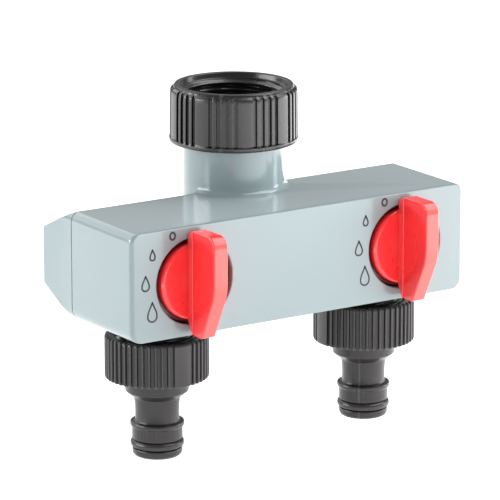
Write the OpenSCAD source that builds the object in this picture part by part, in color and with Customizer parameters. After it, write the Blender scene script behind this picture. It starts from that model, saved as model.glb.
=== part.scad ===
// Two-way hose splitter: a swivel inlet nut on top of a grey manifold housing,
// two quarter-turn knobs on the front and two quick-connect hose tails below.
//
// Frame: X to the right, Y to the back, Z up, millimetres. The origin is on the
// inlet axis, inside the nut's thread, 1.2 mm above the washer's sealing face.

/* [Housing] */
// Width of the housing
body_w = 128; // [120:1:140]
// Height of the housing
body_h = 35.5; // [35:0.5:38]
// Depth of the front shell, from the front panel to the seam
front_d = 36; // [36:0.5:40]
// Depth of the tapered back cover
back_d = 17.5; // [17:0.5:20]
// Drop of the back cover's upper slope
slope_top = 8; // [5:0.5:8]
// Rise of the back cover's lower slope
slope_bottom = 9; // [5:0.5:9]
// Wall thickness of the shells
wall = 2.5; // [2:0.25:2.5]
// Distance from the origin down to the top of the housing
neck_drop = 22.5; // [20:0.5:26]
// Distance from the front panel back to the inlet axis
inlet_setback = 39.5; // [39:0.5:41]

/* [Valves] */
// Distance between the two valve axes
valve_pitch = 81; // [78:1:82]
// Distance from the front panel back to the outlet axes
outlet_setback = 22.8; // [22:0.2:24]
// Radius of the round opening in the front panel
knob_hole_r = 14.1; // [13.9:0.1:14.4]
// Radius of the knob's raised disc
knob_r = 12.5; // [11.5:0.1:12.8]
// Height of the grip blade above the front panel
grip_t = 15.3; // [12:0.1:16]
// Width of the grip blade
grip_w = 5.1; // [5:0.1:6]
// Radius of the valve rotor
rotor_r = 10; // [9.5:0.1:10.1]
// Radius of the water ports in the rotor and the seal
port_r = 4.8; // [4:0.1:5]

/* [Inlet] */
// Outer radius of the inlet neck
neck_r = 16.6; // [16:0.1:17]
// Radius over the nut's grip ribs
nut_r = 20.9; // [20.5:0.1:22]
// Overall height of the nut
nut_h = 18.8; // [18.5:0.1:20]
// Pitch of the inlet thread, 11 turns to the inch
inlet_pitch = 2.309; // [2.309]
// Crest radius of the inlet thread
inlet_minor_r = 15.15; // [15.15]
// Root radius of the inlet thread
inlet_major_r = 16.65; // [16.65]

/* [Outlets] */
// Radius over the adaptor's grip ribs
adaptor_r = 16.8; // [16.6:0.1:17.5]
// Gap between the housing and the top of the adaptor
adaptor_gap = 4.5; // [3.5:0.1:5]
// Height of the adaptor's ribbed ring
adaptor_h = 14.5; // [14.5:0.1:16]
// Pitch of the outlet thread, 14 turns to the inch
outlet_pitch = 1.814; // [1.814]
// Crest radius of the spout's thread
spout_major_r = 13.2; // [13.2]
// Root radius of the spout's thread
spout_minor_r = 12.05; // [12.05]
// Radius of the nipple's waist
waist_r = 7.1; // [7:0.05:7.3]
// Radius of the nipple's catch flange
catch_r = 8.75; // [8.6:0.05:8.8]
// Radius of the nipple's barrel
barrel_r = 8.15; // [8:0.05:8.2]
// Radius of the water bore through the nipple
bore_r = 5.25; // [4.5:0.05:5.5]

/* [Hidden] */
$fn = 96;

// Working clearances
run_gap = 0.1;      // a shaft turning in its bore
fit_gap = 0.05;     // pieces that are assembled and stay put
free_gap = 0.3;     // moving pieces that must not touch
over = 1;           // how far a cutter runs past the face it cuts

// Places that follow from the driving dimensions
body_top = -neck_drop;
body_bottom = body_top - body_h;
valve_x = valve_pitch / 2;
valve_z = (body_top + body_bottom) / 2;
front_y = -inlet_setback;
seam_y = front_y + front_d;
back_y = seam_y + back_d;
outlet_y = front_y + outlet_setback;

// Outline radii of the housing
top_corner_r = 3;
bottom_corner_r = 4;
front_edge_r = 1.3;
corner_steps = 6;

// Manifold
tube_r = 8.5;       // cross tube, outside
tube_bore_r = 6.5;  // cross tube, inside
tube_x = 48.5;      // half length of the cross tube
pipe_r = 11;        // inlet pipe inside the housing
pipe_bore_r = 8.5;
chamber_r = rotor_r + run_gap;
chamber_wall = 2.4;
chamber_back = -8.3;             // Y of the chamber's inner end
mouth_y = front_y + wall + 1.8;  // Y of the chamber's open end
socket_r = 8.2;                  // socket for the spout's tube
socket_top = valve_z - rotor_r - 1.95;

// Neck and nut
nut_bottom = -7.4;
nut_top = nut_bottom + nut_h;
collar_r = 13.8;    // neck inside the nut
lip_r = collar_r + free_gap;
lip_h = 2.4;
washer_top = -1.2;  // sealing face of the inlet washer
washer_h = 1.6;
neck_top = washer_top - washer_h;
ring_r = 15.4;      // retaining ring, outside
ring_groove_r = 12.6;
ring_h = 1.2;
ring_z = nut_bottom + lip_h + free_gap;
foot_r = 2.2;       // fillet where the neck meets the housing

// Outlets
spout_flange_h = 2;
adaptor_top = body_bottom - adaptor_gap;
ring_bottom = adaptor_top - adaptor_h;
adaptor_floor = ring_bottom + 1.8;
outlet_washer_h = 2;
spout_end = adaptor_floor + outlet_washer_h;
thread_gap = 0.12;

// Nipple, measured down from the underside of the ribbed ring
step_r = 10.3;
step_h = 4.4;
waist_top = ring_bottom - 6.2;
catch_top = ring_bottom - 14.5;
catch_h = 1.3;
groove_top = ring_bottom - 20.2;
groove_h = 3;
nipple_end = ring_bottom - 26;
groove_r = 6.4;
o_ring_tube_r = 1.15;

// Cover screws
screw_x = body_w / 2 - 5.8;
screw_dz = 5.2;
screw_r = 1.4;
screw_head_r = 2.8;
screw_head_h = 1.7;
post_r = 3.2;
tongue = 2;         // rim of the back cover inside the front shell

grey = [0.69, 0.74, 0.75];
black = [0.13, 0.13, 0.14];
red = [0.9, 0.12, 0.12];
rubber = [0.08, 0.08, 0.08];
steel = [0.75, 0.76, 0.78];

// ---------- shared shapes ----------

// Points of a quarter circle about [cx, cy], from angle a0 to a0 + 90
function quarter(cx, cy, r, a0, steps = corner_steps) =
    [for (i = [0 : steps]) [cx + r * cos(a0 + 90 * i / steps), cy + r * sin(a0 + 90 * i / steps)]];

// Two points that cut a corner off, or the sharp corner itself where r is 0
function cut_corner(x, y, ux, uy, vx, vy, r) =
    r > 0 ? [[x + ux * r, y + uy * r], [x + vx * r, y + vy * r]] : [[x, y]];

// Rectangle with its own radius at each corner, counter-clockwise from the low one
module soft_rect(x0, y0, x1, y1, r) {
    polygon(concat(cut_corner(x0, y0, 0, 1, 1, 0, r[0]), cut_corner(x1, y0, -1, 0, 0, 1, r[1]),
                   cut_corner(x1, y1, 0, -1, -1, 0, r[2]), cut_corner(x0, y1, 1, 0, 0, -1, r[3])));
    if (r[0] > 0) translate([x0 + r[0], y0 + r[0]]) circle(r = r[0]);
    if (r[1] > 0) translate([x1 - r[1], y0 + r[1]]) circle(r = r[1]);
    if (r[2] > 0) translate([x1 - r[2], y1 - r[2]]) circle(r = r[2]);
    if (r[3] > 0) translate([x0 + r[3], y1 - r[3]]) circle(r = r[3]);
}

// The housing's front outline, drawn in by inset, as a block from y0 to y1
module outline_block(inset, y0, y1) {
    x = body_w / 2 - inset;
    rt = max(top_corner_r - inset, 0.5);
    rb = max(bottom_corner_r - inset, 0.5);
    translate([0, y1, 0]) rotate([90, 0, 0]) linear_extrude(y1 - y0)
        soft_rect(-x, body_bottom + inset, x, body_top - inset, [rb, rb, rt, rt]);
}

// Side outline of the back cover as [y, z] points
function back_outline(front) =
    [[front, body_top], [seam_y, body_top], [back_y, body_top - slope_top],
     [back_y, body_bottom + slope_bottom], [seam_y, body_bottom], [front, body_bottom]];

// A side outline extruded along X, from x0 to x1
module prism_x(points, x0, x1) {
    translate([x0, 0, 0]) rotate([90, 0, 90]) linear_extrude(x1 - x0) polygon(points);
}

// A cylinder along Y, from y0 to y1
module rod_y(r, y0, y1) {
    translate([0, y1, 0]) rotate([90, 0, 0]) cylinder(r = r, h = y1 - y0);
}

// A cylinder along Z, from z0 to z1
module rod_z(r, z0, z1) {
    translate([0, 0, z0]) cylinder(r = r, h = z1 - z0);
}

// A flat ring about Z, from z0 to z1
module ring_z(r_out, r_in, z0, z1) {
    difference() {
        rod_z(r_out, z0, z1);
        rod_z(r_in, z0 - over, z1 + over);
    }
}

// An O-ring about Z; r_mid is the radius to the middle of its section
module o_ring(r_mid, r_tube) {
    rotate_extrude() translate([r_mid, 0]) circle(r = r_tube, $fn = 24);
}

// Thread ridges as [r, z] points going down from z_top; crests sit on r_crest
function ridges(r_root, r_crest, z_top, pitch, turns) =
    [for (i = [0 : turns - 1], p = [[r_root, 0.14], [r_crest, 0.38], [r_crest, 0.62], [r_root, 0.86]])
        [p[0], z_top - pitch * (i + p[1])]];

// Grip ring: a disc with one group of grooves per pad, and pads left standing
module grip_ring(r, h, pads, grooves, pitch, width, depth) {
    linear_extrude(h) difference() {
        circle(r = r);
        for (p = [0 : pads - 1], g = [0 : grooves - 1])
            rotate(360 / pads * (p + 0.5) + (g - (grooves - 1) / 2) * pitch)
                translate([r - depth, -width / 2]) square([depth + over, width]);
    }
}

// Puts a child at the left (-1) or right (+1) valve
module at_valve(side) {
    translate([side * valve_x, 0, 0]) children();
}

// ---------- housing ----------

module shell_block() {
    intersection() {
        outline_block(0, front_y, seam_y);
        // rounded top and bottom front edges
        translate([-body_w / 2 - over, 0, 0]) rotate([90, 0, 90]) linear_extrude(body_w + 2 * over)
            soft_rect(front_y, body_bottom, seam_y, body_top, [front_edge_r, 0, 0, front_edge_r / 2]);
        // rounded upright front edges
        translate([0, 0, body_bottom - over]) linear_extrude(body_h + 2 * over)
            soft_rect(-body_w / 2, front_y, body_w / 2, seam_y, [front_edge_r, front_edge_r, 0, 0]);
    }
}

module front_shell() color(grey) {
    difference() {
        shell_block();
        outline_block(wall, front_y + wall, seam_y + over);
        // notch for the inlet pipe, open at the seam
        rod_z(pipe_r + free_gap, body_top - wall - over, body_top + over);
        translate([-pipe_r - free_gap, -wall, body_top - wall - over])
            cube([2 * (pipe_r + free_gap), 2 * wall, wall + 2 * over]);
        for (side = [-1, 1]) at_valve(side) {
            translate([0, 0, valve_z]) rod_y(knob_hole_r, front_y - over, front_y + wall + over);
            translate([0, outlet_y, 0])
                rod_z(socket_r + free_gap, body_bottom - over, body_bottom + wall + over);
        }
    }
    // screw posts
    for (side = [-1, 1], dz = [-screw_dz, screw_dz])
        translate([side * screw_x, 0, valve_z + dz]) difference() {
            rod_y(post_r, front_y + wall - 0.5, seam_y - tongue);
            rod_y(screw_r, front_y + front_d / 2, seam_y);
        }
}

module cover_block() {
    difference() {
        union() {
            intersection() {
                prism_x(back_outline(seam_y - 2), -body_w / 2 - over, body_w / 2 + over);
                outline_block(0, seam_y - 1, back_y + over);
            }
            // column behind the inlet neck
            rod_z(neck_r, body_bottom + slope_bottom + 2, body_top);
        }
        translate([-body_w, seam_y - 40, body_bottom - over]) cube([2 * body_w, 40, body_h + 2 * over]);
    }
}

module back_cover() color(grey) {
    rim = wall + 1.2;
    difference() {
        union() {
            cover_block();
            outline_block(wall + fit_gap, seam_y - tongue, seam_y + 0.5);
        }
        // hollow inside
        prism_x([[seam_y - tongue - over, body_top - rim], [seam_y + 2, body_top - rim],
                 [back_y - wall, body_top - slope_top - 0.8 * wall],
                 [back_y - wall, body_bottom + slope_bottom + 0.8 * wall],
                 [seam_y + 2, body_bottom + rim], [seam_y - tongue - over, body_bottom + rim]],
                -body_w / 2 + rim, body_w / 2 - rim);
        // way for the inlet pipe through the top
        rod_z(pipe_r + free_gap, body_top - slope_top - 5, body_top + over);
        translate([-pipe_r - free_gap, seam_y - tongue - over, body_top - rim - over])
            cube([2 * (pipe_r + free_gap), -seam_y + tongue + over, rim + 2 * over]);
        for (side = [-1, 1], dz = [-screw_dz, screw_dz])
            translate([side * screw_x, 0, valve_z + dz]) {
                rod_y(screw_r + free_gap, seam_y, back_y + over);
                rod_y(screw_head_r + free_gap, back_y - screw_head_h, back_y + over);
            }
    }
    // screw tubes
    for (side = [-1, 1], dz = [-screw_dz, screw_dz])
        translate([side * screw_x, 0, valve_z + dz]) difference() {
            rod_y(post_r, seam_y - tongue + 2 * fit_gap, back_y - wall + 0.5);
            rod_y(screw_r + free_gap, seam_y - tongue - over, back_y);
        }
}

module cover_screw() {
    slot_w = 0.8;
    difference() {
        union() {
            rod_y(screw_head_r, back_y - screw_head_h, back_y - 0.2);
            rod_y(screw_r, seam_y - 14, back_y - screw_head_h);
        }
        for (a = [0, 90]) rotate([0, a, 0])
            translate([-slot_w / 2, back_y - 1.2, -1.8]) cube([slot_w, 2, 3.6]);
    }
}

module cover_screws() color(steel) {
    for (side = [-1, 1], dz = [-screw_dz, screw_dz])
        translate([side * screw_x, 0, valve_z + dz]) cover_screw();
}

// ---------- manifold ----------

module neck_solid() {
    rotate_extrude() polygon([
        [0, body_top], [neck_r, body_top], [neck_r, nut_bottom - 0.9], [neck_r - 0.3, nut_bottom - 0.6],
        [collar_r, nut_bottom - 0.6], [collar_r, ring_z], [ring_groove_r, ring_z],
        [ring_groove_r, ring_z + ring_h], [collar_r, ring_z + ring_h], [collar_r, neck_top],
        [0, neck_top]]);
    // flared foot, only over the front shell's flat top
    intersection() {
        rotate_extrude() polygon(concat([[neck_r - 1, body_top], [neck_r + foot_r, body_top]],
            [for (i = [1 : 6]) let (a = 15 * i)
                [neck_r + foot_r * (1 - sin(a)), body_top + foot_r * (1 - cos(a))]],
            [[neck_r - 1, body_top + foot_r]]));
        translate([-2 * neck_r, -2 * neck_r, body_top - over])
            cube([4 * neck_r, 2 * neck_r + seam_y, foot_r + 2 * over]);
    }
}

module manifold() color(grey) {
    pipe_floor = valve_z - 6;
    difference() {
        union() {
            neck_solid();
            rod_z(pipe_r, pipe_floor, body_top);
            translate([-tube_x, 0, valve_z]) rotate([0, 90, 0]) cylinder(r = tube_r, h = 2 * tube_x);
            for (side = [-1, 1]) at_valve(side) {
                translate([0, 0, valve_z]) rod_y(chamber_r + chamber_wall, mouth_y, chamber_back + 3.5);
                translate([0, outlet_y, 0]) rod_z(socket_r + 2.6, body_bottom + wall + fit_gap, valve_z);
            }
        }
        // water way: neck, pipe and cross tube
        rod_z(10, body_top, over);
        rod_z(pipe_bore_r, valve_z - 3, body_top + over);
        translate([-tube_x - over, 0, valve_z]) rotate([0, 90, 0])
            cylinder(r = tube_bore_r, h = 2 * (tube_x + over));
        for (side = [-1, 1]) at_valve(side) {
            translate([0, 0, valve_z]) {
                rod_y(chamber_r, mouth_y - over, chamber_back);
                rod_y(tube_bore_r - 0.5, chamber_back - over, 0);
            }
            translate([0, outlet_y, 0]) {
                rod_z(socket_r, body_bottom, socket_top);
                rod_z(port_r + 2, body_bottom, valve_z);
            }
        }
    }
}

// Plug that closes one end of the cross tube
module end_plug(side) color(black) {
    plug_l = 6;
    translate([0, 0, valve_z]) rotate([0, 90 * side, 0])
        rod_z(tube_bore_r - fit_gap, tube_x - plug_l, tube_x);
}

// ---------- inlet ----------

module inlet_washer() color(rubber) {
    ring_z(14.6, 10, neck_top, washer_top);
}

// Split ring that keeps the nut on the neck
module nut_retaining_ring() color(steel) {
    difference() {
        ring_z(ring_r, ring_groove_r + fit_gap, ring_z + fit_gap, ring_z + ring_h - fit_gap);
        translate([0, -1.5, ring_z - over]) cube([ring_r + over, 3, ring_h + 2 * over]);
    }
}

module inlet_nut() color(black) {
    rim_r = 18.6;
    root_r = nut_r - 1;
    turns = 5;
    thread_top = nut_top - 1.8;
    thread = ridges(inlet_major_r, inlet_minor_r, thread_top, inlet_pitch, turns);
    difference() {
        union() {
            intersection() {
                translate([0, 0, nut_bottom]) rotate(6.9)
                    grip_ring(nut_r, nut_h, pads = 9, grooves = 4, pitch = 7.5, width = 1.4, depth = 1);
                // bevels at both ends of the ribs
                rotate_extrude() polygon([[0, nut_bottom + 1], [nut_r, nut_bottom + 1],
                    [nut_r, nut_top - 1.2], [rim_r + 0.6, nut_top], [0, nut_top]]);
            }
            // skirt flange
            rotate_extrude() polygon([[0, nut_bottom], [nut_r - 0.6, nut_bottom],
                [nut_r + 0.2, nut_bottom + 0.7], [nut_r + 0.2, nut_bottom + 1.7], [0, nut_bottom + 1.7]]);
        }
        // lip opening, ring room, thread and flared mouth
        rotate_extrude() polygon(concat(
            [[0, nut_bottom - over], [lip_r, nut_bottom - over], [lip_r, nut_bottom + lip_h],
             [inlet_major_r - 0.4, nut_bottom + lip_h], [inlet_major_r, nut_bottom + lip_h + 0.4],
             [inlet_major_r, thread_top - inlet_pitch * turns]],
            [for (i = [len(thread) - 1 : -1 : 0]) thread[i]],
            [[inlet_major_r - 0.4, thread_top], [rim_r, nut_top], [rim_r, nut_top + over],
             [0, nut_top + over]]));
    }
    // solid root between the ribs' grooves and the thread stays as one ring
    assert(root_r > inlet_major_r + 2);
}

// ---------- valves ----------

rotor_front = mouth_y + 4.2;
stem_r = 3.5;
tang_w = 2.8;
tang_h = 6.2;
tang_end = front_y - 8;
rotor_ring_y = rotor_front + 3.2;

module valve_bonnet(side) color(black) at_valve(side) translate([0, 0, valve_z]) difference() {
    union() {
        rod_y(chamber_r - fit_gap, mouth_y, rotor_front - run_gap);
        rod_y(chamber_r + 1.6, mouth_y - 0.9, mouth_y);
    }
    rod_y(stem_r + run_gap, mouth_y - 2, rotor_front + over);
    // two holes for a pin wrench
    for (s = [-1, 1]) translate([s * 7, 0, 0]) rod_y(1, mouth_y - 2, mouth_y + 1.5);
}

// Cup-shaped rotor: water enters at the back and leaves through the side port
module valve_rotor(side) color(black) at_valve(side) translate([0, 0, valve_z]) {
    difference() {
        union() {
            rod_y(rotor_r, rotor_front, chamber_back - run_gap);
            rod_y(stem_r, front_y + wall - 0.5, rotor_front);
            translate([-tang_w / 2, tang_end, -tang_h / 2])
                cube([tang_w, front_y + wall - tang_end, tang_h]);
        }
        rod_y(tube_bore_r, outlet_y - port_r - 0.5, chamber_back + over);
        translate([0, outlet_y, 0]) rotate([0, -90, 0]) cylinder(r = port_r, h = rotor_r + over);
        translate([0, rotor_ring_y, 0]) rotate([90, 0, 0])
            rotate_extrude() translate([rotor_r - 1.45, -1.15]) square([2.5, 2.3]);
    }
}

module rotor_o_ring(side) color(rubber) at_valve(side)
    translate([0, rotor_ring_y, valve_z]) rotate([90, 0, 0]) o_ring(rotor_r - 0.62, 0.7);

// Saddle-shaped seal between the rotor and the spout
module port_seal(side) color(rubber) at_valve(side) translate([0, outlet_y, 0]) difference() {
    ring_z(port_r + 2 - fit_gap, port_r, socket_top + 0.1, valve_z - rotor_r + 4);
    translate([0, -outlet_y, valve_z]) rod_y(rotor_r + fit_gap, mouth_y, 0);
}

// Side outline of the grip blade as [y, z] points about the valve axis
function grip_outline() =
    concat([[front_y - 0.4, 15.8], [front_y - 2.9, 16.9]],
           [for (i = [0 : 5]) let (a = 18 * i)
               [front_y - grip_t + 3.6 * (1 - sin(a)), 16.9 - 3.6 * (1 - cos(a))]],
           [[front_y - grip_t, 0.5], [front_y - grip_t + 0.5, -2.2]],
           [for (i = [0 : 4]) let (a = 20 * i)
               [front_y - 6.4 - 1.7 * cos(a), -15.4 - 1.7 * sin(a)]],
           [[front_y - 3.2, -17.1], [front_y - 2.6, -16.8], [front_y - 0.4, -12.4]]);

// Wider root of the blade
function grip_root_outline() =
    [[front_y - 0.4, 15.8], [front_y - 2.9, 16.2], [front_y - 2.9, -16.4], [front_y - 2.4, -16.2],
     [front_y - 0.4, -12.4]];

module knob(side) color(red) at_valve(side) translate([0, 0, valve_z]) difference() {
    union() {
        // stepped disc with a rounded rim
        rotate([90, 0, 0]) rotate_extrude() polygon(concat(
            [[0, -front_y - 3], [knob_hole_r - free_gap, -front_y - 3],
             [knob_hole_r - free_gap, -front_y - 1.8], [knob_hole_r - free_gap - 0.2, -front_y - 1.6],
             [knob_r, -front_y - 1.6]],
            quarter(knob_r - 1, -front_y - 0.5, 1, 0), [[0, -front_y + 0.5]]));
        prism_x(grip_outline(), -grip_w / 2, grip_w / 2);
        prism_x(grip_root_outline(), -grip_w / 2 - 0.45, grip_w / 2 + 0.45);
    }
    // socket for the rotor's tang
    translate([-tang_w / 2 - fit_gap, tang_end - 0.3, -tang_h / 2 - fit_gap])
        cube([tang_w + 2 * fit_gap, 20, tang_h + 2 * fit_gap]);
    rod_y(stem_r + fit_gap, front_y + wall - 0.6, front_y + 4);
}

// ---------- outlets ----------

spout_turns = 5;
spout_thread_top = adaptor_top - 1.2;

module outlet_spout(side) color(black) at_valve(side) translate([0, outlet_y, 0]) difference() {
    union() {
        rod_z(socket_r - run_gap, body_bottom - 1, socket_top);
        rod_z(spout_major_r, body_bottom - spout_flange_h, body_bottom - fit_gap);
        rotate_extrude() polygon(concat([[0, body_bottom - 1], [spout_minor_r, body_bottom - 1]],
            ridges(spout_minor_r, spout_major_r, spout_thread_top, outlet_pitch, spout_turns),
            [[spout_minor_r, spout_end], [0, spout_end]]));
    }
    rod_z(port_r, spout_end - over, socket_top + over);
    rod_z(9, spout_end - over, body_bottom - 3);
    // groove for the O-ring in the socket
    ring_z(socket_r + over, socket_r - 1.3, body_bottom + 3.3, body_bottom + 4.8);
}

module spout_o_ring(side) color(rubber) at_valve(side)
    translate([0, outlet_y, body_bottom + 4.05]) o_ring(socket_r - 0.65, 0.63);

module outlet_washer(side) color(rubber) at_valve(side) translate([0, outlet_y, 0])
    ring_z(spout_major_r - 0.2, 6.5, adaptor_floor, spout_end);

// One profile, from the ring's underside down to the nipple's end
function nipple_outline() = concat(
    [[0, ring_bottom + 1], [step_r, ring_bottom + 1], [step_r, ring_bottom - step_h],
     [waist_r + 0.9, waist_top], [waist_r + 0.25, waist_top - 1.6], [waist_r, waist_top - 4],
     [waist_r, catch_top], [catch_r - 0.2, catch_top], [catch_r, catch_top - 0.2],
     [catch_r, catch_top - catch_h], [barrel_r, catch_top - catch_h - 0.8],
     [barrel_r, groove_top], [groove_r, groove_top], [groove_r, groove_top - groove_h],
     [barrel_r - 0.1, groove_top - groove_h]],
    [for (i = [0 : 4]) let (a = 20 * i)
        [barrel_r - 1.6 + 1.5 * cos(a), nipple_end + 1.5 - 1.5 * sin(a)]],
    [[0, nipple_end]]);

module outlet_adaptor(side) color(black) at_valve(side) translate([0, outlet_y, 0]) difference() {
    union() {
        intersection() {
            translate([0, 0, ring_bottom]) rotate(side > 0 ? -1.5 : 87.5)
                grip_ring(adaptor_r, adaptor_h, pads = 2, grooves = 22, pitch = 7.4,
                          width = 1.05, depth = 0.8);
            rotate_extrude() polygon([[0, ring_bottom], [adaptor_r - 0.7, ring_bottom],
                [adaptor_r, ring_bottom + 0.9], [adaptor_r, adaptor_top - 0.8],
                [adaptor_r - 0.6, adaptor_top], [0, adaptor_top]]);
        }
        rotate_extrude() polygon(nipple_outline());
    }
    rod_z(bore_r, nipple_end - over, adaptor_top);
    // socket over the spout, its thread taken as a plain wall just clear of the spout's crests
    rotate_extrude() polygon([[0, adaptor_top + over], [spout_major_r + 1, adaptor_top + over],
        [spout_major_r + thread_gap, adaptor_top - 0.8], [spout_major_r + thread_gap, adaptor_floor],
        [0, adaptor_floor]]);
}

module nipple_o_ring(side) color(rubber) at_valve(side)
    translate([0, outlet_y, groove_top - groove_h / 2]) o_ring(groove_r + o_ring_tube_r, o_ring_tube_r);

// ---------- nodes ----------

front_shell();
back_cover();
cover_screws();
manifold();
end_plug(-1);  // end_plug_left
end_plug(1);  // end_plug_right
inlet_washer();
nut_retaining_ring();
inlet_nut();
valve_bonnet(-1);  // valve_bonnet_left
valve_bonnet(1);  // valve_bonnet_right
valve_rotor(-1);  // valve_rotor_left
valve_rotor(1);  // valve_rotor_right
rotor_o_ring(-1);  // rotor_o_ring_left
rotor_o_ring(1);  // rotor_o_ring_right
port_seal(-1);  // port_seal_left
port_seal(1);  // port_seal_right
knob(-1);  // knob_left
knob(1);  // knob_right
outlet_spout(-1);  // outlet_spout_left
outlet_spout(1);  // outlet_spout_right
spout_o_ring(-1);  // spout_o_ring_left
spout_o_ring(1);  // spout_o_ring_right
outlet_washer(-1);  // outlet_washer_left
outlet_washer(1);  // outlet_washer_right
outlet_adaptor(-1);  // outlet_adaptor_left
outlet_adaptor(1);  // outlet_adaptor_right
nipple_o_ring(-1);  // nipple_o_ring_left
nipple_o_ring(1);  // nipple_o_ring_right
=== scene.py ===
import bpy, bmesh, math
from mathutils import Vector, Matrix


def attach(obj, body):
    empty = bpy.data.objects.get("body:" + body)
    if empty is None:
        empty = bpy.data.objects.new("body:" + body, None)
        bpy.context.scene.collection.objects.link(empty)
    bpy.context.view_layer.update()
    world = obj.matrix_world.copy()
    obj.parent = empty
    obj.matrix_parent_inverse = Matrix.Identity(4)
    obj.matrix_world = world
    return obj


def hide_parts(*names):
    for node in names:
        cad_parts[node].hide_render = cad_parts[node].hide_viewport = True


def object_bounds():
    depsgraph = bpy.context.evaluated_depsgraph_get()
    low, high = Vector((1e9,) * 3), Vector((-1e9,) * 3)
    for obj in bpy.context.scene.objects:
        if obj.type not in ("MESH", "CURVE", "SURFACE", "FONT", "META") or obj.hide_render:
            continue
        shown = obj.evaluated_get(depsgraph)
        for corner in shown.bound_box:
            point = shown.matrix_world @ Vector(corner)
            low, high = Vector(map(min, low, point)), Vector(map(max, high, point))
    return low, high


# Two-way hose splitter, as in the photograph. Lengths are in millimetres up to make() and
# move(), which turn them into metres. Lights and camera are in metres.

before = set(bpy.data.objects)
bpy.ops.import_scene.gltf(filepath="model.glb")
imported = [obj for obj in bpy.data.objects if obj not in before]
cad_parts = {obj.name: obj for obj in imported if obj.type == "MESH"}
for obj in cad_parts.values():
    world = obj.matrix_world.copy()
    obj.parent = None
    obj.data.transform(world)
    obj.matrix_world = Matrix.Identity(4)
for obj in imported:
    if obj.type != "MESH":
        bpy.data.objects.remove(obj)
cad_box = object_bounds()
scene = bpy.context.scene
MM = 0.001
TAU = 2 * math.pi

# ---------------------------------------------------------------- places, in mm, as in the CAD
BODY_W = 128.0                          # the housing's width
TOP, BOTTOM = -22.5, -58.0              # its top and bottom
FRONT, SEAM, BACK = -39.5, -3.5, 14.0   # its front face, the seam and its back, along Y
WALL = 2.5
SEAM_GAP = 0.12                         # from the seam's middle to either shell
VX, VZ = 40.5, (TOP + BOTTOM) / 2       # the valves' axes: x is -VX and VX
OUT_Y = FRONT + 22.8                    # the outlets' axes, below the valves
HOLE_R = 14.1                           # openings for the knobs in the front shell
PIPE_HOLE_R = 11.3                      # opening for the inlet pipe in both shells
NECK_R, FLARE = 16.6, 2.4               # the neck, and the round at its foot
BORE_R, CROSS_R = 8.5, 6.5              # bores of the inlet pipe and of the cross tube
SCREW_X = BODY_W / 2 - 5.8              # the cover's screws
NUT_LOW, NUT_TOP = -7.4, 11.4
NUT_ROOT, NUT_CREST, NUT_PITCH = 16.45, 15.15, 2.309            # its thread
SPOUT_ROOT, SPOUT_CREST, SPOUT_PITCH = 12.05, 13.18, 1.814      # each spout's thread
TAIL_TOP = BOTTOM - 4.5                 # top of each tail's ribbed ring
TAIL_RING = TAIL_TOP - 14.5             # its underside
GRIP = 15.3                             # how far each grip stands out of the front face


# ---------------------------------------------------------------- mesh helpers
def link(name, me):
    o = bpy.data.objects.new(name, me)
    scene.collection.objects.link(o)
    return o


def make(name, verts, faces):
    me = bpy.data.meshes.new(name)
    me.from_pydata([tuple(c * MM for c in v) for v in verts], [], faces)
    bm = bmesh.new()
    bm.from_mesh(me)
    bmesh.ops.remove_doubles(bm, verts=bm.verts, dist=1e-7)
    bmesh.ops.recalc_face_normals(bm, faces=bm.faces)
    bm.to_mesh(me)
    bm.free()
    return link(name, me)


def bake(o):
    """Applies the object's modifiers."""
    dg = bpy.context.evaluated_depsgraph_get()
    me = bpy.data.meshes.new_from_object(o.evaluated_get(dg))
    o.modifiers.clear()
    old = o.data
    o.data = me
    bpy.data.meshes.remove(old)
    return o


def boolean(o, cutter, op="DIFFERENCE"):
    m = o.modifiers.new("bool", "BOOLEAN")
    m.operation = op
    m.solver = "EXACT"
    m.object = cutter
    bake(o)
    bpy.data.objects.remove(cutter)
    # doubled points and slivers left along a cut would open the next one
    bm = bmesh.new()
    bm.from_mesh(o.data)
    bmesh.ops.remove_doubles(bm, verts=bm.verts, dist=1e-6)
    bmesh.ops.dissolve_degenerate(bm, dist=1e-6, edges=bm.edges)
    bm.to_mesh(o.data)
    bm.free()


def bevel(o, width, segments, angle):
    m = o.modifiers.new("bevel", "BEVEL")
    m.width = width * MM
    m.segments = segments
    m.limit_method = "ANGLE"
    m.angle_limit = math.radians(angle)
    m.miter_outer = "MITER_ARC"
    return bake(o)


def smooth(o, angle, weighted):
    o.data.shade_smooth()
    o.data.set_sharp_from_angle(angle=math.radians(angle))
    if weighted:
        m = o.modifiers.new("normals", "WEIGHTED_NORMAL")
        m.keep_sharp = True
        m.weight = 60


def lathe(name, profile, segs=96, closed=True):
    """Turns a list of (r, z) about Z. A profile from axis to axis isn't closed."""
    n = len(profile)
    verts, faces, rings = [], [], []
    for r, z in profile:
        if r == 0:
            rings.append([len(verts)])
            verts.append((0.0, 0.0, z))
            continue
        ring = []
        for i in range(segs):
            a = TAU * i / segs
            ring.append(len(verts))
            verts.append((r * math.cos(a), r * math.sin(a), z))
        rings.append(ring)
    for k in range(n if closed else n - 1):
        a, b = rings[k], rings[(k + 1) % n]
        if len(a) == 1 and len(b) == 1:
            continue
        for i in range(segs):
            j = (i + 1) % segs
            if len(a) == 1:
                faces.append((a[0], b[i], b[j]))
            elif len(b) == 1:
                faces.append((a[i], b[0], a[j]))
            else:
                faces.append((a[i], b[i], b[j], a[j]))
    return make(name, verts, faces)


def prism(name, points, axis, lo, hi):
    """Extrudes a polygon along X, Y or Z."""
    def at(p, t):
        return {"X": (t, p[0], p[1]), "Y": (p[0], t, p[1]), "Z": (p[0], p[1], t)}[axis]
    n = len(points)
    verts = [at(p, lo) for p in points] + [at(p, hi) for p in points]
    faces = [tuple(range(n)), tuple(range(2 * n - 1, n - 1, -1))]
    faces += [(i, (i + 1) % n, n + (i + 1) % n, n + i) for i in range(n)]
    return make(name, verts, faces)


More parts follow.
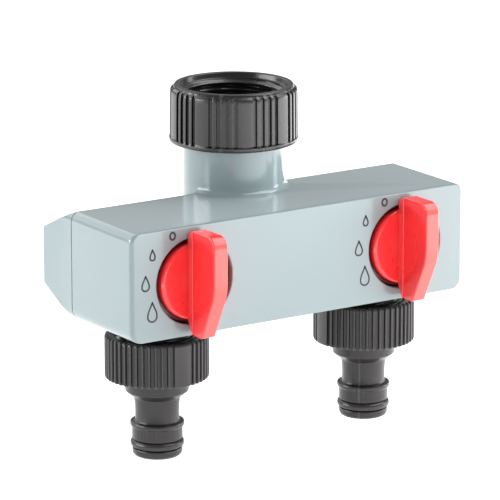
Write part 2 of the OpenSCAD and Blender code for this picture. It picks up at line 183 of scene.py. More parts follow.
def move(o, x=0.0, y=0.0, z=0.0, turn=None):
    """Moves a piece's mesh by millimetres, after a turn of (degrees, axis)."""
    m = Matrix.Translation((x * MM, y * MM, z * MM))
    if turn:
        m = m @ Matrix.Rotation(math.radians(turn[0]), 4, turn[1])
    o.data.transform(m)
    o.data.update()
    return o


def arc(cx, cy, r, a0, a1, n):
    """Points round (cx, cy), from a0 to a1 degrees in n steps."""
    return [(cx + r * math.cos(math.radians(a0 + (a1 - a0) * i / n)),
             cy + r * math.sin(math.radians(a0 + (a1 - a0) * i / n))) for i in range(n + 1)]


def bevel_where(o, width, test, segments, angle):
    """Bevels only the edges sharper than angle whose ends both pass the test, in millimetres."""
    bm = bmesh.new()
    bm.from_mesh(o.data)
    bmesh.ops.dissolve_limit(bm, angle_limit=math.radians(0.5), verts=bm.verts, edges=bm.edges)
    edges = [e for e in bm.edges
             if len(e.link_faces) == 2 and e.calc_face_angle(0) > math.radians(angle)
             and all(test(v.co / MM) for v in e.verts)]
    bmesh.ops.bevel(bm, geom=edges, offset=width * MM, segments=segments, profile=0.5,
                    affect="EDGES", clamp_overlap=True)
    bm.to_mesh(o.data)
    bm.free()


def loft_y(name, rings):
    """Joins (y, outline) rings into one closed skin."""
    n = len(rings[0][1])
    verts = [(x, y, z) for y, pts in rings for x, z in pts]
    faces = []
    for k in range(len(rings) - 1):
        for i in range(n):
            j = (i + 1) % n
            faces.append((k * n + i, k * n + j, (k + 1) * n + j, (k + 1) * n + i))
    faces.append(tuple(range(n)))
    last = (len(rings) - 1) * n
    faces.append(tuple(range(last + n - 1, last - 1, -1)))
    return make(name, verts, faces)


def along_y(o, x, z):
    """Stands a piece made about Z so that its +Z looks to -Y, at x and z."""
    o.data.transform(Matrix.Rotation(math.radians(90), 4, "X"))
    return move(o, x, 0, z)


def rod_z(r, z0, z1, x=0.0, y=0.0, segs=72):
    return move(lathe("rod", [(0, z0), (r, z0), (r, z1), (0, z1)], segs, closed=False), x, y)


# the small turn of a rod about its own axis keeps its edges off those of the rods it meets
def rod_x(r, half, z):
    o = rod_z(r, -half, half)
    turn = Matrix.Rotation(math.radians(1.3), 4, "X") @ Matrix.Rotation(math.radians(90), 4, "Y")
    o.data.transform(turn)
    return move(o, 0, 0, z)


def rod_y(r, y0, y1, x, z):
    o = rod_z(r, -y1, -y0, segs=80)
    o.data.transform(Matrix.Rotation(math.radians(0.9), 4, "Z"))
    return along_y(o, x, z)


# ---------------------------------------------------------------- materials
def plastic(name, rgb, rough, bump, grain, tint, wear=0.0, coat=0.0):
    """Moulded plastic: faint flow clouds in the colour, a fine skin, and rubbed edges."""
    m = bpy.data.materials.new(name)
    m.use_nodes = True
    nt = m.node_tree
    b = nt.nodes["Principled BSDF"]
    b.inputs["Coat Weight"].default_value = coat
    b.inputs["Coat Roughness"].default_value = 0.12
    tc = nt.nodes.new("ShaderNodeTexCoord")
    # colour: broad clouds plus fine specks
    cloud = nt.nodes.new("ShaderNodeTexNoise")
    cloud.inputs["Scale"].default_value = 45.0
    cloud.inputs["Detail"].default_value = 3.0
    nt.links.new(tc.outputs["Object"], cloud.inputs["Vector"])
    speck = nt.nodes.new("ShaderNodeTexNoise")
    speck.inputs["Scale"].default_value = 2600.0
    speck.inputs["Detail"].default_value = 2.0
    nt.links.new(tc.outputs["Object"], speck.inputs["Vector"])
    both = nt.nodes.new("ShaderNodeMath")
    both.operation = "MULTIPLY_ADD"
    nt.links.new(speck.outputs["Fac"], both.inputs[0])
    both.inputs[1].default_value = 0.35
    nt.links.new(cloud.outputs["Fac"], both.inputs[2])
    ramp = nt.nodes.new("ShaderNodeValToRGB")
    ramp.color_ramp.elements[0].position = 0.35
    ramp.color_ramp.elements[1].position = 0.95
    ramp.color_ramp.elements[0].color = tuple(c * (1 - tint) for c in rgb) + (1,)
    ramp.color_ramp.elements[1].color = tuple(min(1, c * (1 + tint)) for c in rgb) + (1,)
    nt.links.new(both.outputs[0], ramp.inputs["Fac"])
    # rubbed edges: a little paler where the surface is sharply convex
    geo = nt.nodes.new("ShaderNodeNewGeometry")
    edge = nt.nodes.new("ShaderNodeMapRange")
    edge.inputs["From Min"].default_value = 0.52
    edge.inputs["From Max"].default_value = 0.62
    nt.links.new(geo.outputs["Pointiness"], edge.inputs["Value"])
    amount = nt.nodes.new("ShaderNodeMath")
    amount.operation = "MULTIPLY"
    amount.inputs[1].default_value = wear
    nt.links.new(edge.outputs["Result"], amount.inputs[0])
    mix = nt.nodes.new("ShaderNodeMix")
    mix.data_type = "RGBA"
    nt.links.new(amount.outputs[0], mix.inputs["Factor"])
    nt.links.new(ramp.outputs["Color"], mix.inputs["A"])
    mix.inputs["B"].default_value = tuple(min(1, c * 0.6 + 0.4) for c in rgb) + (1,)
    nt.links.new(mix.outputs["Result"], b.inputs["Base Color"])
    # roughness follows the clouds
    rr = nt.nodes.new("ShaderNodeMapRange")
    rr.inputs["From Min"].default_value = 0.3
    rr.inputs["From Max"].default_value = 0.75
    rr.inputs["To Min"].default_value = rough * 0.85
    rr.inputs["To Max"].default_value = rough * 1.2
    nt.links.new(cloud.outputs["Fac"], rr.inputs["Value"])
    nt.links.new(rr.outputs["Result"], b.inputs["Roughness"])
    # fine skin
    skin = nt.nodes.new("ShaderNodeTexNoise")
    skin.inputs["Scale"].default_value = grain
    skin.inputs["Detail"].default_value = 4.0
    nt.links.new(tc.outputs["Object"], skin.inputs["Vector"])
    relief = nt.nodes.new("ShaderNodeBump")
    relief.inputs["Strength"].default_value = bump
    relief.inputs["Distance"].default_value = 0.0004
    nt.links.new(skin.outputs["Fac"], relief.inputs["Height"])
    nt.links.new(relief.outputs["Normal"], b.inputs["Normal"])
    return m


GREY = plastic("moulded grey", (0.227, 0.293, 0.305), 0.17, 0.02, 1500.0, 0.02, wear=0.30, coat=0.5)
RED = plastic("moulded red", (0.97, 0.028, 0.031), 0.26, 0.03, 1200.0, 0.03, wear=0.18, coat=0.5)
BLACK = plastic("moulded black", (0.0105, 0.0080, 0.0088), 0.27, 0.12, 1800.0, 0.15,
                wear=0.10, coat=0.35)
DARK = plastic("moulded charcoal", (0.0155, 0.0128, 0.0136), 0.30, 0.12, 1800.0, 0.12,
               wear=0.12, coat=0.10)
INNER = plastic("moulded inner", (0.05, 0.05, 0.053), 0.55, 0.12, 1600.0, 0.08, wear=0.10)
RUBBER = plastic("sealing rubber", (0.014, 0.013, 0.0135), 0.42, 0.15, 2600.0, 0.15)
RUBBER_GREY = plastic("ring rubber", (0.030, 0.026, 0.027), 0.28, 0.06, 2600.0, 0.10)
INK = plastic("printed ink", (0.020, 0.026, 0.032), 0.55, 0.25, 3200.0, 0.25)


def steel():
    m = plastic("turned steel", (0.62, 0.62, 0.63), 0.28, 0.08, 3000.0, 0.06)
    m.node_tree.nodes["Principled BSDF"].inputs["Metallic"].default_value = 1.0
    return m


STEEL = steel()


def blend_in(m, rgb, *masks):
    """Mixes a second colour in where every mask holds: an output's Y, from none at lo to all at hi."""
    nt = m.node_tree
    b = nt.nodes["Principled BSDF"]
    tc = nt.nodes.new("ShaderNodeTexCoord")
    parts = []
    for out, lo, hi in masks:
        sep = nt.nodes.new("ShaderNodeSeparateXYZ")
        nt.links.new(tc.outputs[out], sep.inputs[0])
        mr = nt.nodes.new("ShaderNodeMapRange")
        mr.inputs["From Min"].default_value = lo
        mr.inputs["From Max"].default_value = hi
        nt.links.new(sep.outputs["Y"], mr.inputs["Value"])
        parts.append(mr.outputs["Result"])
    both = nt.nodes.new("ShaderNodeMath")
    both.operation = "MULTIPLY"
    nt.links.new(parts[0], both.inputs[0])
    nt.links.new(parts[-1], both.inputs[1])
    mix = nt.nodes.new("ShaderNodeMix")
    mix.data_type = "RGBA"
    was = b.inputs["Base Color"].links[0].from_socket
    nt.links.new(both.outputs[0], mix.inputs["Factor"])
    nt.links.new(was, mix.inputs["A"])
    mix.inputs["B"].default_value = rgb + (1,)
    nt.links.new(mix.outputs["Result"], b.inputs["Base Color"])


# painted highlight: the grip's outer strip, where it faces the front, is painted a paler red to stand
# for light glinting on it
blend_in(RED, (0.66, 0.086, 0.074),
         ("Normal", -0.75, -0.90), ("Object", (FRONT - 7.0) * MM, (FRONT - 7.6) * MM))
# painted shade: the red is darkened from 0.9 mm to 2 mm behind the front face, in the gap round the
# disc where shade falls
blend_in(RED, (0.10, 0.008, 0.010), ("Object", (FRONT + 0.9) * MM, (FRONT + 2.0) * MM))


def dress(o, mat):
    o.data.materials.clear()
    o.data.materials.append(mat)


def done(o, mat, body, nodes, angle=32, weighted=True):
    """Finishes a piece: its shading and material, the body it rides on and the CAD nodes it
    stands for."""
    smooth(o, angle, weighted)
    dress(o, mat)
    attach(o, body)
    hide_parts(*nodes)


# ---------------------------------------------------------------- the CAD pieces that stay
LOOK = (("front_shell", GREY), ("back_cover", GREY), ("manifold", GREY), ("knob", RED),
        ("inlet_nut", BLACK), ("outlet_adaptor", DARK), ("outlet_spout", BLACK),
        ("cover_screws", STEEL), ("nut_retaining", STEEL),
        ("inlet_washer", RUBBER), ("outlet_washer", RUBBER), ("port_seal", RUBBER),
        ("rotor_o_ring", RUBBER), ("spout_o_ring", RUBBER), ("nipple_o_ring", RUBBER))
for name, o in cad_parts.items():
    mat = next((m for start, m in LOOK if name.startswith(start)), INNER)
    for s in o.material_slots:
        s.material = mat

# ---------------------------------------------------------------- housing
def outline(ix, iz, n=9):
    """Rounded front outline as (x, z), drawn in by ix and iz."""
    x, t, b = BODY_W / 2 - ix, TOP - iz, BOTTOM + iz
    cut = (ix + iz) / 2
    rt, rb = max(3.0 - cut, 0.4), max(4.0 - cut, 0.4)
    return (arc(x - rt, t - rt, rt, 0, 90, n) + arc(-x + rt, t - rt, rt, 90, 180, n)
            + arc(-x + rb, b + rb, rb, 180, 270, n) + arc(x - rb, b + rb, rb, 270, 360, n))


# front shell: its front edge is rounded, more on the sides than above and below
EDGE_X, EDGE_Z = 1.5, 0.35
rings = []
for k in range(6):
    a = math.radians(18 * k)
    inset = 1 - math.sin(a)
    rings.append((FRONT + EDGE_X * (1 - math.cos(a)), outline(EDGE_X * inset, EDGE_Z * inset)))
rings += [(SEAM - 0.30, outline(0, 0)), (SEAM - SEAM_GAP, outline(0.18, 0.18)),
          (SEAM - SEAM_GAP, outline(WALL, WALL)), (FRONT + WALL, outline(WALL, WALL))]
shell = loft_y("front_shell_skin", rings)
for side in (-1, 1):
    rim = arc(HOLE_R + 0.45, -FRONT - 0.45, 0.45, 180, 90, 5)
    cut = lathe("cut", [(0, -FRONT + 1.0), (HOLE_R + 0.45, -FRONT + 1.0)] + rim[::-1]
                + [(HOLE_R, -FRONT - 4.0), (0, -FRONT - 4.0)], 128, closed=False)
    boolean(shell, along_y(cut, side * VX, VZ))
    boolean(shell, rod_z(8.5, BOTTOM - 1, BOTTOM + 4, side * VX, OUT_Y, segs=64))
boolean(shell, rod_z(PIPE_HOLE_R, TOP - 4, TOP + 1, segs=96))
done(shell, GREY, "housing", ["front_shell"])

# back cover: tapered above and below, with a half column behind the neck
COVER_Y = SEAM + SEAM_GAP
side_line = [(COVER_Y, TOP), (BACK, TOP - 8), (BACK, BOTTOM + 9), (COVER_Y, BOTTOM)]
cover = prism("back_cover_skin", side_line, "X", -BODY_W / 2 - 2, BODY_W / 2 + 2)
trim = loft_y("trim", [(SEAM - 3, outline(0, 0)), (BACK + 3, outline(0, 0))])
boolean(cover, trim, "INTERSECT")
column = lathe("column", [(0, TOP - 0.02), (NECK_R, TOP - 0.02), (NECK_R, BOTTOM + 12.0),
                          (NECK_R - 1.0, BOTTOM + 11.0), (0, BOTTOM + 11.0)], 160, closed=False)
keep = prism("keep", [(-20, COVER_Y), (20, COVER_Y), (20, 30), (-20, 30)], "Z", BOTTOM, TOP + 5)
boolean(column, keep, "INTERSECT")
boolean(cover, column, "UNION")

bevel_where(cover, 0.7, lambda c: c.y > 0.0 and abs(c.x) > 20, 4, 20)
tongue = loft_y("tongue", [(SEAM - 2, outline(2.56, 2.56)), (SEAM + 0.6, outline(2.56, 2.56))])
boolean(cover, tongue, "UNION")
hollow = prism("hollow", [(SEAM - 3, TOP - 3.7), (SEAM + 2, TOP - 3.7), (BACK - WALL, TOP - 10),
                          (BACK - WALL, BOTTOM + 11), (SEAM + 2, BOTTOM + 3.7),
                          (SEAM - 3, BOTTOM + 3.7)], "X", -60.3, 60.3)
boolean(cover, hollow)
boolean(cover, prism("cut", [(-PIPE_HOLE_R, SEAM - 3), (PIPE_HOLE_R, SEAM - 3), (PIPE_HOLE_R, 0),
                             (-PIPE_HOLE_R, 0)], "Z", TOP - 5, TOP + 1))
boolean(cover, rod_z(PIPE_HOLE_R, TOP - 13, TOP + 1, segs=96))
for side in (-1, 1):
    for dz in (-5.2, 5.2):
        cut = lathe("cut", [(0, -BACK - 1), (3.5, -BACK - 1), (3.1, -BACK + 0.35), (3.1, -BACK + 1.75),
                            (1.75, -BACK + 1.75), (1.75, -BACK + 4), (0, -BACK + 4)], 48, closed=False)
        boolean(cover, along_y(cut, side * SCREW_X, VZ + dz))
done(cover, GREY, "housing", ["back_cover"])


# ---------------------------------------------------------------- printed flow marks
INK_THICK = 0.035
RING_PEN, DROP_PEN = 0.32, 0.26         # half the width of the printed line
MARKS = (                               # kind, place from the knob's axis, width and height
    ("ring", -8.2, 15.5, 1.9, 2.3),     # shut
    ("small", -15.6, 10.4, 2.1, 3.4),   # then three drops that grow with the flow
    ("middle", -18.2, 1.6, 3.1, 4.8),
    ("large", -15.8, -7.9, 3.9, 6.3),
)


def stroke(name, inner, outer):
    """A thin closed band on the front face, between two outlines of (x, z)."""
    n = len(inner)
    verts = [(x, FRONT + 0.02, z) for x, z in inner + outer]
    verts += [(x, FRONT - INK_THICK, z) for x, z in inner + outer]
    faces = []
    for i in range(n):
        j = (i + 1) % n
        faces += [(2 * n + i, 2 * n + j, 3 * n + j, 3 * n + i), (i, n + i, n + j, j),
                  (i, j, 2 * n + j, 2 * n + i), (n + i, 3 * n + i, 3 * n + j, n + j)]
    return make(name, verts, faces)


def oval(w, h, n=48):
    turn = [TAU * i / n for i in range(n)]
    return [(w / 2 * math.cos(t), h / 2 * math.sin(t)) for t in turn][::-1]


def drop(w, h, n=64):
    pts = []
    for i in range(n):
        t = TAU * i / n
        x = math.sin(t) * math.sin(t / 2) ** 1.6
        pts.append((x * (w / 2) / 0.80, math.cos(t) * h / 2))
    return pts


def offset(pts, d):
    """Moves each point of a closed outline sideways by d."""
    out, n = [], len(pts)
    for i in range(n):
        (x0, z0), (x2, z2) = pts[i - 1], pts[(i + 1) % n]
        nx, nz = z2 - z0, -(x2 - x0)
        ln = math.hypot(nx, nz) or 1
        out.append((pts[i][0] - nx / ln * d, pts[i][1] - nz / ln * d))
    return out


for side, word in ((-1, "left"), (1, "right")):
    for kind, dx, dz, w, h in MARKS:
        base, pen = (oval(w, h), RING_PEN) if kind == "ring" else (drop(w, h), DROP_PEN)
        edges = [[(x + side * VX + dx, z + VZ + dz) for x, z in offset(base, d)] for d in (-pen, pen)]
        o = stroke("mark_%s_%s" % (kind, word), *edges)
        dress(o, INK)
        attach(o, "housing")

# ---------------------------------------------------------------- manifold with its visible neck
neck_line = ([(10.0, -2.8), (13.6, -2.8), (13.8, -3.0), (13.8, -3.5), (12.6, -3.5), (12.6, -4.7),
              (13.8, -4.7), (13.8, NUT_LOW - 0.6)]
             + arc(NECK_R - 0.4, NUT_LOW - 1.0, 0.4, 90, 0, 4)
             + [(NECK_R, TOP + FLARE)]
             + arc(NECK_R + FLARE, TOP + FLARE, FLARE, 180, 262, 9)[1:]
             + [(18.9, TOP + 0.01), (10.0, TOP + 0.01)])
manifold = lathe("manifold_skin", neck_line, 160)
# behind the seam the neck runs straight down into the cover's column, with no flare
flat = lathe("flat", [(NECK_R + 0.03, TOP - 1), (25, TOP - 1), (25, TOP + 3.2),
                      (NECK_R + 0.03, TOP + 3.2)], 160)
half = prism("half", [(-30, SEAM), (30, SEAM), (30, 30), (-30, 30)], "Z", TOP - 3, TOP + 6)
boolean(flat, half, "INTERSECT")
boolean(manifold, flat)
boolean(manifold, rod_z(11.0, TOP + 1, VZ - 6, segs=96), "UNION")
boolean(manifold, rod_x(8.5, 48.5, VZ), "UNION")
for side in (-1, 1):
    boolean(manifold, rod_y(12.5, FRONT + 4.3, -4.8, side * VX, VZ), "UNION")
    boolean(manifold, rod_z(10.8, BOTTOM + 2.55, VZ, side * VX, OUT_Y), "UNION")
# then the waterways, with a chamber, a back bearing and a socket at each valve
boolean(manifold, rod_z(BORE_R, VZ - 3, TOP + 3))
boolean(manifold, rod_x(CROSS_R, 49.5, VZ))
for side in (-1, 1):
    boolean(manifold, rod_y(10.1, FRONT + 3.3, -8.3, side * VX, VZ))
    boolean(manifold, rod_y(6.0, -9.3, 0, side * VX, VZ))
    boolean(manifold, rod_z(8.2, BOTTOM, VZ - 11.95, side * VX, OUT_Y))
    boolean(manifold, rod_z(6.8, BOTTOM, VZ, side * VX, OUT_Y))
done(manifold, GREY, "housing", ["manifold"])

# ---------------------------------------------------------------- ribbed rings
def sector_angles(marks, turns):
    """Angles in radians for each of turns equal sectors, from the degrees within one sector."""
    step = 360.0 / turns
    return [math.radians(k * step + m) for k in range(turns) for m in marks]


def even(points):
    """Profile points of (r, z) that the grooves leave alone."""
    return [(r, z, 0) for r, z in points]


def ribbed(name, profile, angles, depth_at):
    """Turns a closed profile of (r, z, w) about Z. At angles[i], each point moves in by
    depth_at[i] times its w. A radius may be a function of the angle."""
    verts, faces = [], []
    n, s = len(profile), len(angles)
    for r, z, w in profile:
        for i, a in enumerate(angles):
            rr = r(a) if callable(r) else r
            rr -= w * depth_at[i]
            verts.append((rr * math.cos(a), rr * math.sin(a), z))
    for k in range(n):
        for i in range(s):
            a, b, j = k * s, ((k + 1) % n) * s, (i + 1) % s
            faces.append((a + i, b + i, b + j, a + j))
    return make(name, verts, faces)


def helix(root, crest, pitch, z, z_lo, z_hi):
    """Radius of a helical thread wall at height z, as a function of the angle.
    The thread fades out over the last millimetre at z_lo and z_hi."""
    def at(a):
        t = (z / pitch - a / TAU) % 1.0
        ridge = min(max((0.5 - abs(t - 0.5)) * 2 * 1.55 - 0.30, 0.0), 1.0)
        fade = min(max((z - z_lo) / 1.0, 0.0), 1.0) * min(max((z_hi - z) / 1.0, 0.0), 1.0)
        return root + (crest - root) * ridge * fade
    return at


def sector(pad, grooves, groove, rib):
    """One sector's (degrees, depth): the pad, then a groove at each place with a rib between."""
    out = list(pad)
    for k, at in enumerate(grooves):
        out += [(at + m, d) for m, d in groove]
        if k < len(grooves) - 1:
            out += [(at + m, d) for m, d in rib]
    return out


# union nut: nine pads, with three narrow ribs between neighbours
NUT_PADS = 9
nut_sector = sector(((-6.9, .08), (-6.3, 0), (-2.5, 0), (2.5, 0), (6.3, 0), (6.9, .08)),
                    [8.75 + 7.5 * k for k in range(4)],
                    ((-1.75, .9), (-1.2, 1.0), (1.2, 1.0), (1.75, .9)),
                    ((2.05, .10), (2.55, 0), (4.95, 0), (5.45, .10)))
nut_angles = sector_angles([m for m, d in nut_sector], NUT_PADS)
nut_depth = [d for m, d in nut_sector] * NUT_PADS
MOUTH = NUT_TOP - 1.9                   # where the thread starts, under the mouth's rim
THREAD_END = -2.6
line = even([(14.1, NUT_LOW), (20.4, NUT_LOW), (20.9, NUT_LOW + 0.2), (21.14, NUT_LOW + 0.6),
             (21.14, NUT_LOW + 1.4)])
line += [(21.0, NUT_LOW + 1.65, 0.2), (20.95, NUT_LOW + 1.75, 1.05), (20.93, NUT_LOW + 2.2, 1.05),
         (20.88, NUT_LOW + 8, 1.05), (20.8, NUT_TOP - 3.0, 1.05), (20.72, NUT_TOP - 1.9, 1.0),
         (20.6, NUT_TOP - 1.5, 0.95), (20.35, NUT_TOP - 1.25, 0.75), (19.75, NUT_TOP - 0.95, 0.12)]
line += even([(19.6, NUT_TOP - 0.75), (19.45, NUT_TOP - 0.3), (19.25, NUT_TOP - 0.06), (18.95, NUT_TOP),
              (17.75, NUT_TOP), (17.6, NUT_TOP - 0.06), (17.45, NUT_TOP - 0.3), (17.3, NUT_TOP - 1.5),
              (17.05, NUT_TOP - 1.8), (16.6, NUT_TOP - 1.86)])
z = MOUTH
while z > THREAD_END:
    line.append((helix(NUT_ROOT, NUT_CREST, NUT_PITCH, z, THREAD_END, MOUTH), z, 0))
    z -= NUT_PITCH / 12
line += even([(NUT_ROOT, -2.7), (NUT_ROOT, -4.6), (16.1, -5.0), (14.3, -5.0), (14.1, -5.2)])
nut = ribbed("inlet_nut_skin", line, nut_angles, nut_depth)
move(nut, turn=(6.9, "Z"))
done(nut, BLACK, "swivel_nut", ["inlet_nut"], angle=38)

# hose tails: two wide pads, fine ribs between them, and the quick-connect nipple below
GROOVES, STEP = 22, 7.4
tail_sector = sector(((-9.9, .06), (-9.3, 0), (-5, 0), (0, 0), (5, 0), (9.3, 0), (9.9, .06)),
                     [90 + STEP * (k - (GROOVES - 1) / 2) for k in range(GROOVES)],
                     ((-1.75, .72), (-0.9, .8), (0.9, .8), (1.75, .72)),
                     ((2.35, .14), (2.95, 0), (4.45, 0), (5.05, .14)))
tail_angles = sector_angles([m for m, d in tail_sector], 2)
tail_depth = [d for m, d in tail_sector] * 2


def tail_line():
    """One tail's profile: the ribbed ring with its socket, then the collar, waist, catch
    flange, barrel, O-ring groove and tip."""
    t, r = TAIL_TOP, TAIL_RING
    socket = even([(5.25, t - 12.7), (13.32, t - 12.7), (13.32, t - 0.8), (14.0, t - 0.12),
                   (14.3, t), (15.5, t)])
    ring = [(15.9, t - 0.04, 0.2), (16.4, t - 0.2, 0.95), (16.7, t - 0.5, 1.0), (16.8, t - 0.9, 1.0),
            (16.8, r + 1.3, 1.0), (16.75, r + 0.75, 1.0), (16.6, r + 0.45, 1.0), (16.3, r + 0.3, 1.0),
            (15.7, r + 0.2, 0.7)]
    collar = [(14.8, r + 0.1), (10.6, r + 0.05), (10.35, r - 0.1), (10.3, r - 0.4), (10.3, r - 4.0),
              (10.2, r - 4.25), (9.95, r - 4.42), (8.7, r - 5.5), (8.1, r - 6.0), (7.75, r - 6.2)]
    waist = [(7.5, r - 6.7), (7.32, r - 7.7), (7.16, r - 9.2), (7.1, r - 11.0), (7.1, r - 13.9),
             (7.25, r - 14.3), (7.6, r - 14.45)]
    flange = [(8.3, r - 14.5), (8.62, r - 14.62), (8.74, r - 14.9), (8.75, r - 15.5),
              (8.64, r - 15.85), (8.4, r - 16.05), (8.22, r - 16.3)]
    barrel = [(8.15, r - 16.6), (8.15, r - 19.9), (8.05, r - 20.14), (7.85, r - 20.2)]
    groove = [(6.4, r - 20.2), (6.4, r - 23.2), (7.75, r - 23.2), (8.0, r - 23.3), (8.08, r - 23.5),
              (8.06, r - 24.3)]
    tip = arc(6.55, r - 24.5, 1.5, 0, -80, 6) + [(5.75, r - 26.0), (5.25, r - 25.6)]
    return socket + ring + even(collar + waist + flange + barrel + groove + tip)


# each tail is turned to where its pads stand in the photograph
for side, word, turn in ((-1, "left", 87.5), (1, "right", -1.5)):
    tail = ribbed("hose_tail_" + word, tail_line(), tail_angles, tail_depth)
    move(tail, side * VX, OUT_Y, 0, (turn, "Z"))
    done(tail, DARK, word + "_tail", ["outlet_adaptor_" + word], angle=38)

    # O-ring, a little taller than round as it sits stretched in its groove
    section = [(7.53 + 1.17 * math.cos(TAU * i / 20),
                TAIL_RING - 21.7 + 1.3 * math.sin(TAU * i / 20))
               for i in range(20)]
    ring = move(lathe("tail_ring_" + word, section, 96), side * VX, OUT_Y)
    done(ring, RUBBER_GREY, word + "_tail", ["nipple_o_ring_" + word], weighted=False)

    # threaded spout, from its foot with an O-ring groove down to the thread's end
    end = TAIL_RING + 3.9
    line = even([(4.8, BOTTOM + 5.35), (8.1, BOTTOM + 5.35), (8.1, BOTTOM + 4.8), (6.9, BOTTOM + 4.8),
                 (6.9, BOTTOM + 3.3), (8.1, BOTTOM + 3.3), (8.1, BOTTOM - 0.05), (12.9, BOTTOM - 0.05),
                 (13.2, BOTTOM - 0.3), (13.2, BOTTOM - 1.7), (12.9, BOTTOM - 2.0),
                 (12.1, BOTTOM - 2.2)])
    z = BOTTOM - 2.4
    while z > end + 0.5:
        wall = helix(SPOUT_ROOT, SPOUT_CREST, SPOUT_PITCH, z, end + 0.3, BOTTOM - 2.2)
        line.append((wall, z, 0))
        z -= SPOUT_PITCH / 10
    line += even([(11.9, end + 0.35), (11.6, end + 0.02), (9.0, end + 0.02), (9.0, BOTTOM - 3),
                  (4.8, BOTTOM - 3)])
    turns = [TAU * i / 128 for i in range(128)]
    spout = ribbed("spout_" + word, line, turns, [0] * len(turns))
    move(spout, side * VX, OUT_Y)
    done(spout, BLACK, "housing", ["outlet_spout_" + word], angle=38)

# ---------------------------------------------------------------- knobs
GRIP_TOP, GRIP_ROUND = 16.9, 4.0        # above the knob's axis, and its upper round
GRIP_HALF, FOOT_HALF = 2.55, 2.95       # half of their thickness

# side views of the grip and of its foot, as (y, z)
f = FRONT
blade_line = ([(f - 0.4, 15.7), (f - 1.6, 16.5), (f - 2.9, GRIP_TOP)]
              + arc(f - GRIP + GRIP_ROUND, GRIP_TOP - GRIP_ROUND, GRIP_ROUND, 90, 180, 12)
              + [(f - GRIP, 2.4), (f - GRIP + 0.08, 0.6), (f - GRIP + 0.45, -1.6),
                 (f - GRIP + 1.0, -3.4)]
              + arc(f - 6.6, -15.3, 1.8, 190, 262, 7)
              + [(f - 3.4, -17.1), (f - 2.6, -16.7), (f - 0.4, -12.6)])
foot_line = [(f - 0.4, 15.7), (f - 1.6, 16.3), (f - 3.1, 16.5), (f - 3.1, -16.6), (f - 2.6, -16.4),
             (f - 0.4, -12.6)]
for side, word in ((-1, "left"), (1, "right")):
    z0 = -FRONT
    rim = arc(11.35, z0 - 0.65, 1.15, 0, 90, 7)
    flange = [(0, z0 - 3.0), (13.6, z0 - 3.0), (13.8, z0 - 2.8), (13.8, z0 - 2.55), (13.6, z0 - 2.4),
              (12.7, z0 - 2.35), (12.5, z0 - 2.2)]
    face = [(10.4, z0 + 0.44), (9.2, z0 + 0.38), (0, z0 + 0.38)]
    disc = lathe("knob_" + word + "_skin", flange + rim + face, 128, closed=False)
    disc.data.transform(Matrix.Rotation(math.radians(90), 4, "X"))
    blade = bevel(prism("blade", blade_line, "X", -GRIP_HALF, GRIP_HALF), 0.55, 4, 40)
    foot = bevel(prism("foot", foot_line, "X", -FOOT_HALF, FOOT_HALF), 0.22, 2, 40)
    boolean(disc, foot, "UNION")
    boolean(disc, blade, "UNION")
    # the blind socket for the rotor's flat stem
    boolean(disc, prism("socket", [(-1.45, -3.15), (1.45, -3.15), (1.45, 3.15), (-1.45, 3.15)],
                        "Y", f - 8.3, f + 8))
    move(disc, side * VX, 0, VZ)
    done(disc, RED, word + "_valve", ["knob_" + word], angle=30)

# ---------------------------------------------------------------- floor
FLOOR_DROP = 0.012          # metres below the tails, more than they drop when unscrewed
FLOOR_HALF = 4000           # millimetres
GLOW_FROM, GLOW_TO = (0.05, 0.45), (0.32, 2.0)     # metres from the origin, and strength

corners = [(-FLOOR_HALF, -FLOOR_HALF, 0), (FLOOR_HALF, -FLOOR_HALF, 0), (FLOOR_HALF, FLOOR_HALF, 0),
           (-FLOOR_HALF, FLOOR_HALF, 0)]
floor = make("floor", corners, [(0, 1, 2, 3)])
floor.location.z = cad_box[0][2] - FLOOR_DROP
paper = bpy.data.materials.new("floor paper")
paper.use_nodes = True
nt = paper.node_tree
shader = nt.nodes["Principled BSDF"]
shader.inputs["Base Color"].default_value = (0.80, 0.80, 0.80, 1)
shader.inputs["Roughness"].default_value = 0.9
shader.inputs["Emission Color"].default_value = (1, 1, 1, 1)
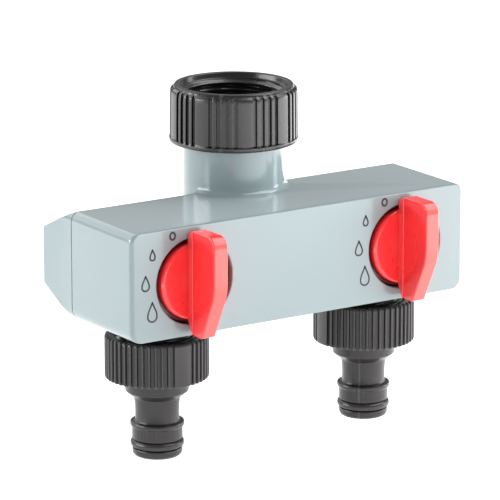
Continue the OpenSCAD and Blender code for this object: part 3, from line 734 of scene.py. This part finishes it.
# the paper glows a little everywhere, and more towards the right front, like a bounce card
place = nt.nodes.new("ShaderNodeTexCoord")
along = nt.nodes.new("ShaderNodeVectorMath")
along.operation = "DOT_PRODUCT"
along.inputs[1].default_value = (0.80, -0.60, 0.0)
nt.links.new(place.outputs["Object"], along.inputs[0])
glow = nt.nodes.new("ShaderNodeMapRange")
glow.inputs["From Min"].default_value, glow.inputs["To Min"].default_value = GLOW_FROM
glow.inputs["From Max"].default_value, glow.inputs["To Max"].default_value = GLOW_TO
nt.links.new(along.outputs["Value"], glow.inputs["Value"])
nt.links.new(glow.outputs["Result"], shader.inputs["Emission Strength"])
dress(floor, paper)

# ---------------------------------------------------------------- light
world = bpy.data.worlds.new("studio")
world.use_nodes = True
world.node_tree.nodes["Background"].inputs["Color"].default_value = (0.97, 0.99, 1.0, 1)
world.node_tree.nodes["Background"].inputs["Strength"].default_value = 0.30
scene.world = world
scene.view_settings.view_transform = "Standard"


def aimed(name, data, at, target):
    """Puts a light or camera at a place, looking at the target."""
    o = bpy.data.objects.new(name, data)
    scene.collection.objects.link(o)
    o.location = at
    o.rotation_euler = (Vector(target) - Vector(at)).to_track_quat("-Z", "Y").to_euler()
    return o


MIDDLE = (0.0, -0.02, -0.045)
LIGHTS = (          # name, place, width, height, watts, whether glossy pieces reflect it
    ("right front", (1.05, -0.80, 0.20), 1.9, 0.75, 19.8, False),
    ("right strip", (1.20, -0.33, 0.10), 0.30, 0.60, 3.0, True),
    ("left side", (-1.10, 0.45, 0.25), 1.0, 0.60, 11.8, True),
    ("above behind", (-0.30, 0.95, 0.72), 1.6, 1.1, 7.0, True),
    ("above right", (0.62, -0.30, 0.98), 1.3, 1.0, 15.0, True),
)
for name, at, width, height, watts, reflected in LIGHTS:
    panel = bpy.data.lights.new(name, "AREA")
    panel.shape = "RECTANGLE"
    panel.size, panel.size_y = width, height
    panel.energy = watts
    aimed(name, panel, at, MIDDLE).visible_glossy = reflected

# ---------------------------------------------------------------- camera, at the photograph's angle
AZIMUTH, ELEVATION = math.radians(-33.48), math.radians(14.40)
DISTANCE = 1.2179
aim = Vector((-6.57, -19.5, -39.42)) * MM
towards = Vector((math.sin(AZIMUTH) * math.cos(ELEVATION), -math.cos(AZIMUTH) * math.cos(ELEVATION),
                  math.sin(ELEVATION)))
cam_data = bpy.data.cameras.new("camera")
cam_data.lens = 271.84
cam_data.sensor_width = 36.0
cam_data.clip_start, cam_data.clip_end = 0.05, 30.0
scene.camera = aimed("camera", cam_data, aim + towards * DISTANCE, aim)
